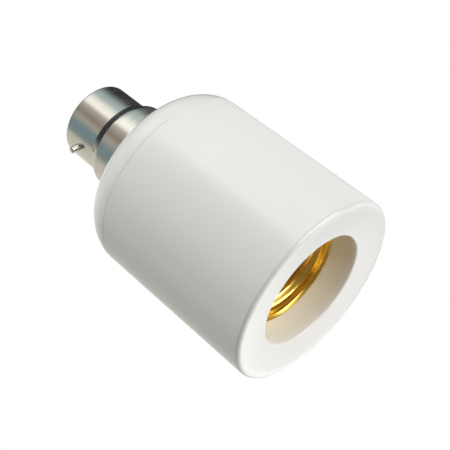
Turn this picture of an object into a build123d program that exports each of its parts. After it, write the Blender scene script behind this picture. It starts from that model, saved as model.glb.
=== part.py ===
from build123d import *
import os
from math import atan2, cos, degrees, hypot, radians, sin, tan

os.makedirs("parts", exist_ok=True)

# A lamp holder that hangs in a bayonet socket and takes a screw-cap lamp, with a radio switch inside.
# All sizes are in millimetres. The axis is Z, the face's outer ring lies on Z = 0 and the bayonet cap is on top.
# The bayonet pins lie along X and the two cap contacts along Y.

# Moulded body
BODY_R = 26.0
BODY_TOP = 57.8
SEAM_Z = 48.7
SEAM_EDGE = 0.2
WALL = 2.0
FACE_T = 2.4
EDGE_R = 1.2
SHOULDER_R = 8.4
FOOT_R = 23.6
MOUTH_R = 16.05
MOUTH_Z = 1.05
MOUTH_EDGE_R = 0.7
THROAT_R = 14.2
RIM_Z = 8.0
SLEEVE_IN_R = 15.0
SLEEVE_R = 17.0
SLEEVE_END = 31.0
BOSS_R = 3.0
BOSS_AT = 21.1
PILOT_R = 1.2
PILOT_DEPTH = 9.0
RIB_T = 1.2

# Neck and lip of the rear cover
NECK_R = 12.0
NECK_BORE_R = 9.6
NECK_TOP = 66.5
LIP_R = 23.7
LIP_IN_R = 22.2
LIP_Z = 45.6
SNAP_Z = 47.0
SNAP_R = 0.45

# Bayonet cap
SHEET = 0.4
BARREL_R = 11.0
SKIRT_R = 12.75
STEP_LOW = 69.3
STEP_HIGH = 72.2
CAP_END = 83.7
CAP_CURL_R = 10.0
PIN_Z = 78.3
PIN_R = 0.95
PIN_TIP = 13.35
CRIMP_Z = 62.0
CRIMP_R = 1.6
CONTACT_AT = 4.5
STEM_R = 1.2
STEM_END = 78.6
CONTACT_TOP = 84.5

# Screw socket
THREAD_CREST_R = 12.2
SHELL_RIM_R = 14.6
SHELL_HOLE_R = 7.5
BASE_T = 3.2
BASE_R = 17.8
BASE_TOP = SLEEVE_END + BASE_T
TAB_W = 4.0
TAB_Y = 10.0
TAB_TOP = 41.0
RIVET_AT = 9.7
RIVET_R = 0.9

# Sprung centre contact: a strip folded in the YZ plane, points given as (Y, Z)
LEAF_W = 5.0
LEAF_T = 0.4
LEAF_POST_Y = -12.0
LEAF_RIVET_Y = -9.2
LEAF_FOLD = (-6.3, 29.6)
LEAF_BEND = (3.2, 27.9)
LEAF_TIP = (4.4, 28.7)
BUTTON_R = 2.8

# Circuit board
BOARD_Z = 38.5
BOARD_T = 1.6
BOARD_R = 23.3
BOARD_TOP = BOARD_Z + BOARD_T
LEAD_R = 0.8


def corners(sketch, *points):
    """The sketch's vertices that lie at the given points."""
    return [v for v in sketch.vertices() if any(hypot(v.X - x, v.Y - y) < 0.01 for x, y in points)]


def bend_radii(points):
    """For each corner of a wire's route, the largest arc that leaves a tenth of the shorter run straight."""
    radii = []
    for before, here, after in zip(points, points[1:], points[2:]):
        run_in = Vector(*here) - Vector(*before)
        run_out = Vector(*after) - Vector(*here)
        turn = radians(run_in.get_angle(run_out))
        radii.append(0.45 * min(run_in.length, run_out.length) / tan(turn / 2))
    return radii


# The body: a cylinder with a dished face, a tapered mouth and a sleeve that holds the screw shell.
# The holder can stand on the flat ring that is left round the dish.
with BuildPart() as housing_shell:
    with BuildSketch(Plane.XZ) as wall:
        with BuildLine():
            Polyline(
                (MOUTH_R, MOUTH_Z),
                (FOOT_R, 0),
                (BODY_R, 0),
                (BODY_R, SEAM_Z),
                (BODY_R - WALL, SEAM_Z),
                (BODY_R - WALL, FACE_T),
                (SLEEVE_R, FACE_T),
                (SLEEVE_R, SLEEVE_END),
                (SLEEVE_IN_R, SLEEVE_END),
                (SLEEVE_IN_R, RIM_Z),
                (THROAT_R, RIM_Z),
                close=True,
            )
        make_face()
        fillet(corners(wall, (MOUTH_R, MOUTH_Z)), radius=MOUTH_EDGE_R)
        fillet(corners(wall, (BODY_R, 0)), radius=EDGE_R)
        chamfer(corners(wall, (BODY_R, SEAM_Z)), length=SEAM_EDGE)
    revolve(axis=Axis.Z)
    # Two low bosses carry the socket base and two tall ones the circuit board.
    with BuildSketch(Plane.XY.offset(FACE_T - 0.5)):
        with PolarLocations(BOSS_AT, 2):
            Circle(BOSS_R)
    extrude(amount=SLEEVE_END - FACE_T + 0.5)
    with BuildSketch(Plane.XY.offset(FACE_T - 0.5)):
        with PolarLocations(BOSS_AT, 2, start_angle=90):
            Circle(BOSS_R)
    extrude(amount=BOARD_Z - FACE_T + 0.5)
    # Ribs stiffen the sleeve between the bosses.
    with BuildSketch(Plane.XY.offset(FACE_T - 0.5)):
        with PolarLocations((SLEEVE_R + BODY_R - WALL) / 2, 4, start_angle=45):
            Rectangle(BODY_R - WALL - SLEEVE_R + 0.8, RIB_T)
    extrude(amount=20.0)
    with Locations(Plane.XY.offset(SLEEVE_END)):
        with PolarLocations(BOSS_AT, 2):
            Hole(PILOT_R, depth=PILOT_DEPTH)
    with Locations(Plane.XY.offset(BOARD_Z)):
        with PolarLocations(BOSS_AT, 2, start_angle=90):
            Hole(PILOT_R, depth=PILOT_DEPTH)
    # The groove inside the rear edge takes the cover's snap bead.
    with BuildSketch(Plane.XZ):
        with Locations((BODY_R - WALL, SNAP_Z)):
            Rectangle(2 * SNAP_R, 3 * SNAP_R)
    revolve(axis=Axis.Z, mode=Mode.SUBTRACT)
housing_shell.part.label = "housing_shell"
export_step(housing_shell.part, "parts/housing_shell.step")

# The rear cover: a rounded shoulder, a snap lip inside the body and a neck inside the cap.
with BuildPart() as rear_cover:
    with BuildSketch(Plane.XZ) as wall:
        with BuildLine():
            Polyline(
                (BODY_R, SEAM_Z),
                (BODY_R, BODY_TOP),
                (NECK_R, BODY_TOP),
                (NECK_R, NECK_TOP),
                (NECK_BORE_R, NECK_TOP),
                (NECK_BORE_R, BODY_TOP - WALL),
                (BODY_R - WALL, BODY_TOP - WALL),
                (BODY_R - WALL, SEAM_Z + 1.6),
                (LIP_IN_R, SEAM_Z + 0.6),
                (LIP_IN_R, LIP_Z),
                (LIP_R, LIP_Z),
                (LIP_R, SEAM_Z),
                close=True,
            )
        make_face()
        fillet(corners(wall, (BODY_R, BODY_TOP)), radius=SHOULDER_R)
        fillet(corners(wall, (BODY_R - WALL, BODY_TOP - WALL)), radius=SHOULDER_R - WALL - 1.3)
        fillet(corners(wall, (NECK_BORE_R, BODY_TOP - WALL)), radius=1.0)
        chamfer(corners(wall, (BODY_R, SEAM_Z)), length=SEAM_EDGE)
        chamfer(corners(wall, (NECK_R, NECK_TOP), (LIP_R, LIP_Z)), length=0.5)
    revolve(axis=Axis.Z)
    with BuildSketch(Plane.XZ):
        with Locations((LIP_R, SNAP_Z)):
            Circle(SNAP_R)
    revolve(axis=Axis.Z)
    # Hollows take the four crimps of the cap's skirt.
    with Locations(Plane.XY.offset(CRIMP_Z)):
        with PolarLocations(NECK_R - 0.3 + CRIMP_R, 4, start_angle=45):
            Sphere(CRIMP_R, mode=Mode.SUBTRACT)
rear_cover.part.label = "rear_cover"
export_step(rear_cover.part, "parts/rear_cover.step")

# The bayonet cap: one drawn sheet, a wide skirt that steps in to the barrel, its end curled over the insulator.
with BuildPart() as bayonet_cap:
    with BuildSketch(Plane.XZ) as sheet:
        with BuildLine():
            Polyline(
                (SKIRT_R, BODY_TOP),
                (SKIRT_R, STEP_LOW),
                (BARREL_R, STEP_HIGH),
                (BARREL_R, CAP_END),
                (CAP_CURL_R, CAP_END),
                (CAP_CURL_R, CAP_END - SHEET),
                (BARREL_R - SHEET, CAP_END - SHEET),
                (BARREL_R - SHEET, STEP_HIGH + 0.1),
                (SKIRT_R - SHEET, STEP_LOW + 0.1),
                (SKIRT_R - SHEET, BODY_TOP),
                close=True,
            )
        make_face()
        fillet(corners(sheet, (SKIRT_R, STEP_LOW)), radius=3.0)
        fillet(corners(sheet, (SKIRT_R - SHEET, STEP_LOW + 0.1)), radius=2.6)
        fillet(corners(sheet, (BARREL_R, STEP_HIGH)), radius=0.7)
        fillet(corners(sheet, (BARREL_R - SHEET, STEP_HIGH + 0.1)), radius=1.1)
        fillet(corners(sheet, (BARREL_R, CAP_END)), radius=0.6)
    revolve(axis=Axis.Z)
    with BuildSketch(Plane.YZ):
        with Locations((0, PIN_Z)):
            Circle(PIN_R)
    extrude(amount=SKIRT_R, both=True, mode=Mode.SUBTRACT)
    # Four crimps hold the skirt on the cover's neck: a bump inside, a dent of the same size outside.
    bump_at = NECK_R - 0.2 + CRIMP_R
    inner_side = Pos(SKIRT_R - SHEET / 2 - bump_at - CRIMP_R, 0, 0) * Box(2 * CRIMP_R, 9, 9, mode=Mode.PRIVATE)
    bump = Sphere(CRIMP_R, mode=Mode.PRIVATE) & inner_side
    with Locations(Plane.XY.offset(CRIMP_Z)):
        with PolarLocations(bump_at, 4, start_angle=45):
            add(bump)
        with PolarLocations(bump_at + SHEET, 4, start_angle=45):
            Sphere(CRIMP_R, mode=Mode.SUBTRACT)
bayonet_cap.part.label = "bayonet_cap"
export_step(bayonet_cap.part, "parts/bayonet_cap.step")

# A bayonet pin: a round-ended stud headed inside the barrel.
with BuildPart() as pin:
    with BuildSketch(Plane.YZ.offset(BARREL_R - SHEET - 0.7)):
        with Locations((0, PIN_Z)):
            Circle(1.5)
    extrude(amount=0.5)
    with BuildSketch(Plane.YZ.offset(BARREL_R - SHEET - 0.3)):
        with Locations((0, PIN_Z)):
            Circle(PIN_R)
    extrude(amount=PIN_TIP - BARREL_R + SHEET + 0.3)
    fillet(pin.faces().sort_by(Axis.X)[-1].edges(), radius=0.55)
bayonet_pin_right = pin.part
bayonet_pin_right.label = "bayonet_pin_right"
export_step(bayonet_pin_right, "parts/bayonet_pin_right.step")
bayonet_pin_left = mirror(pin.part, about=Plane.YZ)
bayonet_pin_left.label = "bayonet_pin_left"
export_step(bayonet_pin_left, "parts/bayonet_pin_left.step")

# The insulator that closes the cap's end, with a raised middle and two contact bores.
with BuildPart() as cap_insulator:
    with BuildSketch(Plane.XZ) as disc:
        with BuildLine():
            Polyline(
                (0, CAP_END - 3.6),
                (BARREL_R - SHEET, CAP_END - 3.6),
                (BARREL_R - SHEET, CAP_END - SHEET),
                (CAP_CURL_R - 0.3, CAP_END - SHEET),
                (CAP_CURL_R - 0.5, CAP_END + 0.2),
                (0, CAP_END + 0.4),
                close=True,
            )
        make_face()
        fillet(corners(disc, (CAP_CURL_R - 0.5, CAP_END + 0.2)), radius=0.3)
    revolve(axis=Axis.Z)
    with Locations(Plane.XY.offset(CAP_END + 1)):
        with PolarLocations(CONTACT_AT, 2, start_angle=90):
            Hole(STEM_R)
cap_insulator.part.label = "cap_insulator"
export_step(cap_insulator.part, "parts/cap_insulator.step")

# A cap contact: a domed pad on a stem that passes through the insulator.
with BuildPart() as contact:
    with BuildSketch(Plane.XZ) as pad:
        with BuildLine():
            Polyline(
                (0, STEM_END),
                (STEM_R, STEM_END),
                (STEM_R, CAP_END + 0.4),
                (2.2, CAP_END + 0.4),
                (2.2, CONTACT_TOP),
                (0, CONTACT_TOP),
                close=True,
            )
        make_face()
        fillet(corners(pad, (2.2, CONTACT_TOP)), radius=0.35)
    revolve(axis=Axis.Z)
cap_contact_live = Pos(0, CONTACT_AT, 0) * contact.part
cap_contact_live.label = "cap_contact_live"
export_step(cap_contact_live, "parts/cap_contact_live.step")
cap_contact_neutral = Pos(0, -CONTACT_AT, 0) * contact.part
cap_contact_neutral.label = "cap_contact_neutral"
export_step(cap_contact_neutral, "parts/cap_contact_neutral.step")

# The screw shell: drawn brass with a flared rim, a floor open in the middle and a solder tab.
# Its bore is the crest line of the rolled thread.
with BuildPart() as screw_shell:
    with BuildSketch(Plane.XZ) as sheet:
        with BuildLine():
            Polyline(
                (SHELL_RIM_R, RIM_Z),
                (SHELL_RIM_R, RIM_Z + SHEET),
                (THREAD_CREST_R + SHEET, RIM_Z + 2.9),
                (THREAD_CREST_R + SHEET, SLEEVE_END),
                (SHELL_HOLE_R, SLEEVE_END),
                (SHELL_HOLE_R, SLEEVE_END - SHEET),
                (THREAD_CREST_R, SLEEVE_END - SHEET),
                (THREAD_CREST_R, RIM_Z + 2.7),
                (THROAT_R, RIM_Z),
                close=True,
            )
        make_face()
        fillet(corners(sheet, (THREAD_CREST_R + SHEET, RIM_Z + 2.9)), radius=2.0)
        fillet(corners(sheet, (THREAD_CREST_R, RIM_Z + 2.7)), radius=2.4)
        fillet(corners(sheet, (THREAD_CREST_R + SHEET, SLEEVE_END)), radius=1.0)
        fillet(corners(sheet, (THREAD_CREST_R, SLEEVE_END - SHEET)), radius=0.6)
    revolve(axis=Axis.Z)
    with BuildSketch(Plane.XZ.offset(-TAB_Y)):
        with Locations((0, (SLEEVE_END - SHEET + TAB_TOP) / 2)):
            Rectangle(TAB_W, TAB_TOP - SLEEVE_END + SHEET)
    extrude(amount=-SHEET)
    with Locations(Plane.XY.offset(SLEEVE_END)):
        with PolarLocations(RIVET_AT, 2):
            Hole(RIVET_R)
screw_shell.part.label = "screw_shell"
export_step(screw_shell.part, "parts/screw_shell.step")

# The socket base: a disc with two ears, slots for the two terminals and a wall between them.
with BuildPart() as socket_base:
    with BuildSketch(Plane.XY.offset(SLEEVE_END)) as outline:
        Circle(BASE_R)
        with PolarLocations(BOSS_AT / 2, 2):
            SlotOverall(BOSS_AT + 2 * BOSS_R - 1.0, 2 * BOSS_R - 1.0)
    extrude(amount=BASE_T)
    chamfer(socket_base.faces().sort_by(Axis.Z)[-1].outer_wire().edges(), length=0.4)
    with BuildSketch(Plane.XY.offset(BASE_TOP)):
        with Locations((0, 3.0)):
            Rectangle(22.0, 1.2)
    extrude(amount=2.6)
    with Locations(Plane.XY.offset(BASE_TOP)):
        with PolarLocations(BOSS_AT, 2):
            Hole(PILOT_R + 0.35)
        with PolarLocations(RIVET_AT, 2):
            Hole(RIVET_R)
        with Locations((0, LEAF_RIVET_Y)):
            Hole(RIVET_R)
    with BuildSketch(Plane.XY.offset(SLEEVE_END)):
        with Locations((0, LEAF_FOLD[0])):
            Rectangle(LEAF_W + 1.0, 2.2)
        with Locations((0, TAB_Y + SHEET / 2)):
            Rectangle(TAB_W + 0.6, SHEET + 0.6)
    extrude(amount=BASE_T, mode=Mode.SUBTRACT)
    # The strip's rivet is headed in a recess, clear of the live floor of the shell.
    with BuildSketch(Plane.XY.offset(SLEEVE_END)):
        with Locations((0, LEAF_RIVET_Y)):
            Circle(2.0)
    extrude(amount=1.3, mode=Mode.SUBTRACT)
socket_base.part.label = "socket_base"
export_step(socket_base.part, "parts/socket_base.step")

# Two rivets join the shell's floor to the base.
with BuildPart() as shell_rivets:
    with BuildSketch(Plane.XZ) as rivet:
        with BuildLine():
            Polyline(
                (0, SLEEVE_END - SHEET - 0.7),
                (1.7, SLEEVE_END - SHEET - 0.7),
                (1.7, SLEEVE_END - SHEET),
                (RIVET_R, SLEEVE_END - SHEET),
                (RIVET_R, BASE_TOP),
                (1.5, BASE_TOP),
                (1.5, BASE_TOP + 0.5),
                (0, BASE_TOP + 0.5),
                close=True,
            )
        make_face()
        fillet(corners(rivet, (1.7, SLEEVE_END - SHEET - 0.7)), radius=0.5)
        fillet(corners(rivet, (1.5, BASE_TOP + 0.5)), radius=0.3)
    revolve(axis=Axis.Z, mode=Mode.PRIVATE)
    one = revolve(Plane.XZ * rivet.sketch_local, axis=Axis.Z, mode=Mode.PRIVATE)
    with PolarLocations(RIVET_AT, 2):
        add(one)
shell_rivets.part.label = "shell_rivets"
export_step(shell_rivets.part, "parts/shell_rivets.step")

# The centre contact strip: a solder post, a foot on the base, a fold through the slot and a springy tongue.
with BuildPart() as contact_leaf:
    foot_z = BASE_TOP + LEAF_T / 2
    with BuildSketch(Plane.YZ.offset(-LEAF_W / 2)):
        with BuildLine() as route:
            FilletPolyline(
                (LEAF_POST_Y, TAB_TOP),
                (LEAF_POST_Y, foot_z),
                (LEAF_FOLD[0], foot_z),
                LEAF_FOLD,
                LEAF_BEND,
                LEAF_TIP,
                radius=[0.8, 0.8, 0.9, 0.9],
            )
        trace(route.line, line_width=LEAF_T)
    extrude(amount=LEAF_W)
    with BuildSketch(Plane.XY.offset(BASE_TOP)):
        with Locations((0, LEAF_RIVET_Y)):
            Circle(RIVET_R)
    extrude(amount=LEAF_T, mode=Mode.SUBTRACT)
    with BuildSketch(Plane.XY.offset(LEAF_BEND[1] - 1)):
        Circle(1.3)
    extrude(amount=3.0, mode=Mode.SUBTRACT)
contact_leaf.part.label = "contact_leaf"
export_step(contact_leaf.part, "parts/contact_leaf.step")

# The contact button is riveted through the tongue, square to it.
slope = (LEAF_BEND[1] - LEAF_FOLD[1]) / (LEAF_BEND[0] - LEAF_FOLD[0])
tongue_z = LEAF_FOLD[1] - slope * LEAF_FOLD[0]
across_tongue = Plane(origin=(0, 0, tongue_z), x_dir=(1, 0, 0), z_dir=(0, -slope, 1))
with BuildPart() as contact_button:
    with BuildSketch(Plane.XZ) as half:
        with BuildLine():
            Polyline((0, -1.5), (1.6, -1.3), (BUTTON_R, -0.8), (BUTTON_R, -0.22), (1.0, -0.22), (1.0, 0.22))
            Polyline((1.0, 0.22), (1.8, 0.22), (1.8, 0.4), (1.0, 0.8), (0, 0.8), (0, -1.5))
        make_face()
        fillet(corners(half, (1.6, -1.3)), radius=2.0)
        fillet(corners(half, (BUTTON_R, -0.8)), radius=0.3)
    revolve(axis=Axis.Z)
contact_button = across_tongue * contact_button.part
contact_button.label = "contact_button"
export_step(contact_button, "parts/contact_button.step")

# The rivet that holds the strip's foot on the base.
with BuildPart() as leaf_rivet:
    with BuildSketch(Plane.XZ) as half:
        with BuildLine():
            Polyline(
                (0, SLEEVE_END + 0.7),
                (1.5, SLEEVE_END + 0.7),
                (1.5, SLEEVE_END + 1.3),
                (RIVET_R, SLEEVE_END + 1.3),
                (RIVET_R, BASE_TOP + LEAF_T),
                (1.7, BASE_TOP + LEAF_T),
                (1.7, BASE_TOP + LEAF_T + 0.7),
                (0, BASE_TOP + LEAF_T + 0.7),
                close=True,
            )
        make_face()
        fillet(corners(half, (1.7, BASE_TOP + LEAF_T + 0.7)), radius=0.5)
    revolve(axis=Axis.Z)
leaf_rivet = Pos(0, LEAF_RIVET_Y, 0) * leaf_rivet.part
leaf_rivet.label = "leaf_rivet"
export_step(leaf_rivet, "parts/leaf_rivet.step")

# The round circuit board, with slots for the two socket terminals.
with BuildPart() as circuit_board:
    with BuildSketch(Plane.XY.offset(BOARD_Z)):
        Circle(BOARD_R)
        with PolarLocations(BOSS_AT, 2, start_angle=90):
            Circle(PILOT_R + 0.35, mode=Mode.SUBTRACT)
        with Locations((0, LEAF_POST_Y)):
            Rectangle(LEAF_W + 0.3, LEAF_T + 0.3, mode=Mode.SUBTRACT)
        with Locations((0, TAB_Y + SHEET / 2)):
            Rectangle(TAB_W + 0.3, SHEET + 0.3, mode=Mode.SUBTRACT)
    extrude(amount=BOARD_T)
circuit_board.part.label = "circuit_board"
export_step(circuit_board.part, "parts/circuit_board.step")


def screw_at(low, name, angle, seat):
    """Two pan-head screws on the boss circle, their heads on the given seat."""
    with BuildPart() as screws:
        with BuildSketch(Plane.XY.offset(low)):
            with PolarLocations(BOSS_AT, 2, start_angle=angle):
                Circle(PILOT_R)
        extrude(amount=seat - low)
        with BuildSketch(Plane.XY.offset(seat)):
            with PolarLocations(BOSS_AT, 2, start_angle=angle):
                Circle(2.2)
        extrude(amount=1.5)
        fillet(screws.faces().sort_by(Axis.Z)[-2:].edges(), radius=0.6)
    screws.part.label = name
    export_step(screws.part, f"parts/{name}.step")


screw_at(SLEEVE_END - PILOT_DEPTH + 1, "base_screws", 0, BASE_TOP)
screw_at(BOARD_Z - PILOT_DEPTH + 1, "board_screws", 90, BOARD_TOP)

# The relay that switches the lamp.
with BuildPart() as relay:
    with BuildSketch(Plane.XY.offset(BOARD_TOP)):
        with Locations((0, -3.6)):
            Rectangle(18.4, 10.2)
    extrude(amount=15.2)
    fillet(relay.edges().filter_by(Axis.Z), radius=0.6)
    fillet(relay.faces().sort_by(Axis.Z)[-1].edges(), radius=0.4)
relay.part.label = "relay"
export_step(relay.part, "parts/relay.step")

# The film capacitor that drops the mains voltage.
with BuildPart() as film_capacitor:
    with BuildSketch(Plane.XY.offset(BOARD_TOP)):
        with Locations((-14.2, 1.6)):
            RectangleRounded(6.0, 13.0, 0.5)
    extrude(amount=12.0)
    fillet(film_capacitor.faces().sort_by(Axis.Z)[-1].edges(), radius=0.4)
film_capacitor.part.label = "film_capacitor"
export_step(film_capacitor.part, "parts/film_capacitor.step")

# The electrolytic capacitor, its can crimped above the rubber bung.
with BuildPart() as electrolytic_capacitor:
    with BuildSketch(Plane.XZ) as can:
        with BuildLine():
            Polyline(
                (0, BOARD_TOP),
                (4.0, BOARD_TOP),
                (4.0, BOARD_TOP + 1.3),
                (3.6, BOARD_TOP + 1.8),
                (4.0, BOARD_TOP + 2.3),
                (4.0, BOARD_TOP + 12.0),
                (0, BOARD_TOP + 12.0),
                close=True,
            )
        make_face()
        fillet(corners(can, (4.0, BOARD_TOP + 12.0)), radius=0.4)
    revolve(axis=Axis.Z)
electrolytic_capacitor = Pos(15.0, 2.0, 0) * electrolytic_capacitor.part
electrolytic_capacitor.label = "electrolytic_capacitor"
export_step(electrolytic_capacitor, "parts/electrolytic_capacitor.step")


def axial(body_r, body_l, pitch, wire_r=0.3):
    """An axial component lying along X: a round body with its wires bent down to the board."""
    height = BOARD_TOP + body_r
    reach = pitch / 2
    with BuildPart() as component:
        with BuildSketch(Plane.YZ.offset(-body_l / 2)):
            with Locations((0, height)):
                Circle(body_r)
        extrude(amount=body_l)
        fillet(component.edges().filter_by(GeomType.CIRCLE), radius=body_r * 0.3)
        with BuildLine() as wire:
            FilletPolyline(
                (-reach, 0, BOARD_TOP),
                (-reach, 0, height),
                (reach, 0, height),
                (reach, 0, BOARD_TOP),
                radius=0.6,
            )
        with BuildSketch(Plane.XY.offset(BOARD_TOP)):
            with Locations((-reach, 0)):
                Circle(wire_r)
        sweep(path=wire.line)
    return component.part


# Four rectifier diodes side by side.
with BuildPart() as rectifier_diodes:
    diode = axial(1.3, 4.6, 7.6)
    with Locations(*[(x, -14.8) for x in (-13.4, -10.2, -7.0, -3.8)]):
        add(Rot(0, 0, 90) * diode)
rectifier_diodes.part.label = "rectifier_diodes"
export_step(rectifier_diodes.part, "parts/rectifier_diodes.step")

# The voltage regulating diode in its glass sleeve.
zener_diode = Pos(13.6, -8.2, 0) * Rot(0, 0, 90) * axial(0.95, 3.8, 6.6)
zener_diode.label = "zener_diode"
export_step(zener_diode, "parts/zener_diode.step")

# The fusible resistor in the mains feed.
fuse_resistor = Pos(8.6, -13.4, 0) * axial(1.7, 8.4, 12.0)
fuse_resistor.label = "fuse_resistor"
export_step(fuse_resistor, "parts/fuse_resistor.step")

# Three small resistors.
with BuildPart() as resistors:
    resistor = axial(1.0, 5.4, 8.6)
    with Locations((7.6, -17.0), (10.4, 10.0), (-14.7, -8.2)):
        add(resistor)
resistors.part.label = "resistors"
export_step(resistors.part, "parts/resistors.step")

# The transistor that drives the relay: a moulded body with one flat side on three legs.
with BuildPart() as transistor:
    with BuildSketch(Plane.XY.offset(BOARD_TOP + 2.2)):
        with Locations((-12.4, 12.2)):
            Circle(2.3)
        with Locations((-12.4, 12.2 + 2.9)):
            Rectangle(6, 3, mode=Mode.SUBTRACT)
    extrude(amount=4.6)
    with BuildSketch(Plane.XY.offset(BOARD_TOP)):
        with Locations((-12.4, 12.0)):
            with GridLocations(1.27, 1, 3, 1):
                Rectangle(0.45, 0.4)
    extrude(amount=2.2)
transistor.part.label = "transistor"
export_step(transistor.part, "parts/transistor.step")

# The radio receiver board stands on edge on the main board, its decoder chip towards the middle.
RECEIVER_Y = 15.0
with BuildPart() as receiver_board:
    with BuildSketch(Plane.XY.offset(BOARD_TOP)):
        with Locations((0, RECEIVER_Y + 0.5)):
            Rectangle(19.0, 1.0)
    extrude(amount=10.5)
receiver_board.part.label = "receiver_board"
export_step(receiver_board.part, "parts/receiver_board.step")

with BuildPart() as decoder_chip:
    chip_z = BOARD_TOP + 6.0
    with BuildSketch(Plane.XZ.offset(-RECEIVER_Y + 0.15)):
        with Locations((-3.0, chip_z)):
            Rectangle(9.9, 3.9)
    extrude(amount=1.4)
    with BuildSketch(Plane.XZ.offset(-RECEIVER_Y)):
        with Locations((-3.0, chip_z)):
            with GridLocations(1.27, 5.2, 7, 2):
                Rectangle(0.42, 1.0)
    extrude(amount=0.25)
    with BuildSketch(Plane.XZ.offset(-RECEIVER_Y + 0.25)):
        with Locations((-3.0, chip_z)):
            with GridLocations(1.27, 4.2, 7, 2):
                Rectangle(0.42, 0.9)
    extrude(amount=0.7)
decoder_chip.part.label = "decoder_chip"
export_step(decoder_chip.part, "parts/decoder_chip.step")

# The aerial: a wire soldered to the receiver board that runs round inside the wall.
# Its first bend meets the ring where two circles touch from the inside.
RING_R = 23.0
AERIAL_R = 0.4
AERIAL_Z = BOARD_TOP + 3.2
start_x = 7.0
start_y = RECEIVER_Y + 1.0
bend_y = start_y + 2.4
bend_r = (RING_R**2 - start_x**2 - bend_y**2) / (2 * (start_x + RING_R))
meet = degrees(atan2(bend_y, start_x + bend_r))
with BuildPart() as aerial_wire:
    with BuildLine() as route:
        straight = Line((start_x, start_y, AERIAL_Z), (start_x, bend_y, AERIAL_Z))
        ring = CenterArc((0, 0, AERIAL_Z), RING_R, meet, -250)
        CenterArc((start_x + bend_r, bend_y, AERIAL_Z), bend_r, 180, meet - 180)
    with BuildSketch(Plane.XZ.offset(-start_y)):
        with Locations((start_x, AERIAL_Z)):
            Circle(AERIAL_R)
    sweep(path=route.line)
aerial_wire.part.label = "aerial_wire"
export_step(aerial_wire.part, "parts/aerial_wire.step")


def lead(name, points):
    """An insulated wire from a cap contact's stem down to the board, its bends as wide as the runs allow."""
    radii = bend_radii(points)
    with BuildPart() as wire:
        with BuildLine() as route:
            FilletPolyline(*points, radius=radii)
        with BuildSketch(Plane(origin=points[0], z_dir=Vector(*points[1]) - Vector(*points[0]))):
            Circle(LEAD_R)
        sweep(path=route.line)
    wire.part.label = name
    export_step(wire.part, f"parts/{name}.step")
    print(name, "bend radii", [round(r, 1) for r in radii], "length", round(sum(e.length for e in route.edges()), 1))


lead(
    "live_lead",
    [(0, CONTACT_AT, STEM_END), (0, CONTACT_AT, 72), (-2.2, 5.6, 63), (-5.4, 6.8, 54), (-7.2, 8.6, 46), (-7.2, 8.6, BOARD_TOP)],
)
lead(
    "neutral_lead",
    [(0, -CONTACT_AT, STEM_END), (0, -CONTACT_AT, 74), (3.8, -1.4, 66), (6.4, 3.4, 58), (7.4, 5.6, 48), (7.4, 5.6, BOARD_TOP)],
)
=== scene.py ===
# %% [markdown]
# # A remote control lamp holder
#
# The object plugs into a bayonet ceiling socket and takes a screw-cap lamp. A round white body hides a
# radio switch, a nickel-plated cap stands on its back, and a brass screw shell sits deep in its mouth.
# The CAD model already has every part in place. Here each part that shows gets a smooth surface and a
# finish, because the CAD's triangles are flat, and a polished cap or a soft white body shows every facet.

import bpy
import numpy as np
from mathutils import Matrix


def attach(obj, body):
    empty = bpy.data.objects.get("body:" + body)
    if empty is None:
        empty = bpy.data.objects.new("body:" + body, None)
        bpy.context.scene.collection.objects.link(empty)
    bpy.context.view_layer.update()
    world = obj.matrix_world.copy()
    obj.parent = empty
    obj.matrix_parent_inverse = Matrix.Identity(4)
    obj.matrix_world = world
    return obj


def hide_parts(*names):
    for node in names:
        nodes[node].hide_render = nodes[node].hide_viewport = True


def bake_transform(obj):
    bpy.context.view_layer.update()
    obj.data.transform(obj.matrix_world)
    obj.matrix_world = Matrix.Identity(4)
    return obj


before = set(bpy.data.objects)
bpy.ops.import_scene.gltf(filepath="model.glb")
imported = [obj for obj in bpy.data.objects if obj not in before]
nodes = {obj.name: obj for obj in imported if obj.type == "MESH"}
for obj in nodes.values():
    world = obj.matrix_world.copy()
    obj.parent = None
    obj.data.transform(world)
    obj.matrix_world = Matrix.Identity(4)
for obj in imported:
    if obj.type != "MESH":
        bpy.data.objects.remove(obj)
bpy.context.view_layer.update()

# %% [markdown]
# ## The camera
#
# A photograph of a round body gives its camera away: the mouth, the body's edge and the cap's end are
# all circles on one axis, so the ellipses that they make fix where the camera stood. It looked up at the
# holder from below its face. A camera's matrix holds its right, up and back directions and its place as
# columns, so those four are written down and nothing has to be aimed.

# %% Camera
MM = 0.001
RIGHT = np.array([0.7212550, -0.0552801, -0.6904602])
UP = np.array([0.4729783, -0.6889384, 0.5492316])
BACK = np.array([-0.5060462, -0.7227088, -0.4707539])
EYE = np.array([-123.39923, -175.13670, -83.29302]) * MM


def pose_matrix(directions, place):
    """A 4 x 4 matrix with three directions and a place as its columns."""
    pose = np.eye(4)
    pose[:3, :3] = np.column_stack(directions)
    pose[:3, 3] = place
    return Matrix(pose.tolist())


camera = bpy.data.objects.new("camera", bpy.data.cameras.new("camera"))
bpy.context.scene.collection.objects.link(camera)
bpy.context.scene.camera = camera
camera.matrix_world = pose_matrix([RIGHT, UP, BACK], EYE)
camera.data.lens = 76.0
camera.data.sensor_width = 36.0
camera.data.clip_start = 0.01
bpy.context.scene.view_settings.view_transform = "Standard"
print("the camera stands", round(float(np.linalg.norm(EYE)) / MM), "mm from the mouth")

# %% [markdown]
# ## Nodes in a few words
#
# A world or a material is a tree of nodes, and most lines of such code only make a node, set its inputs
# and link them. One helper does all three, so that each later line reads as what the node does.


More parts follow.
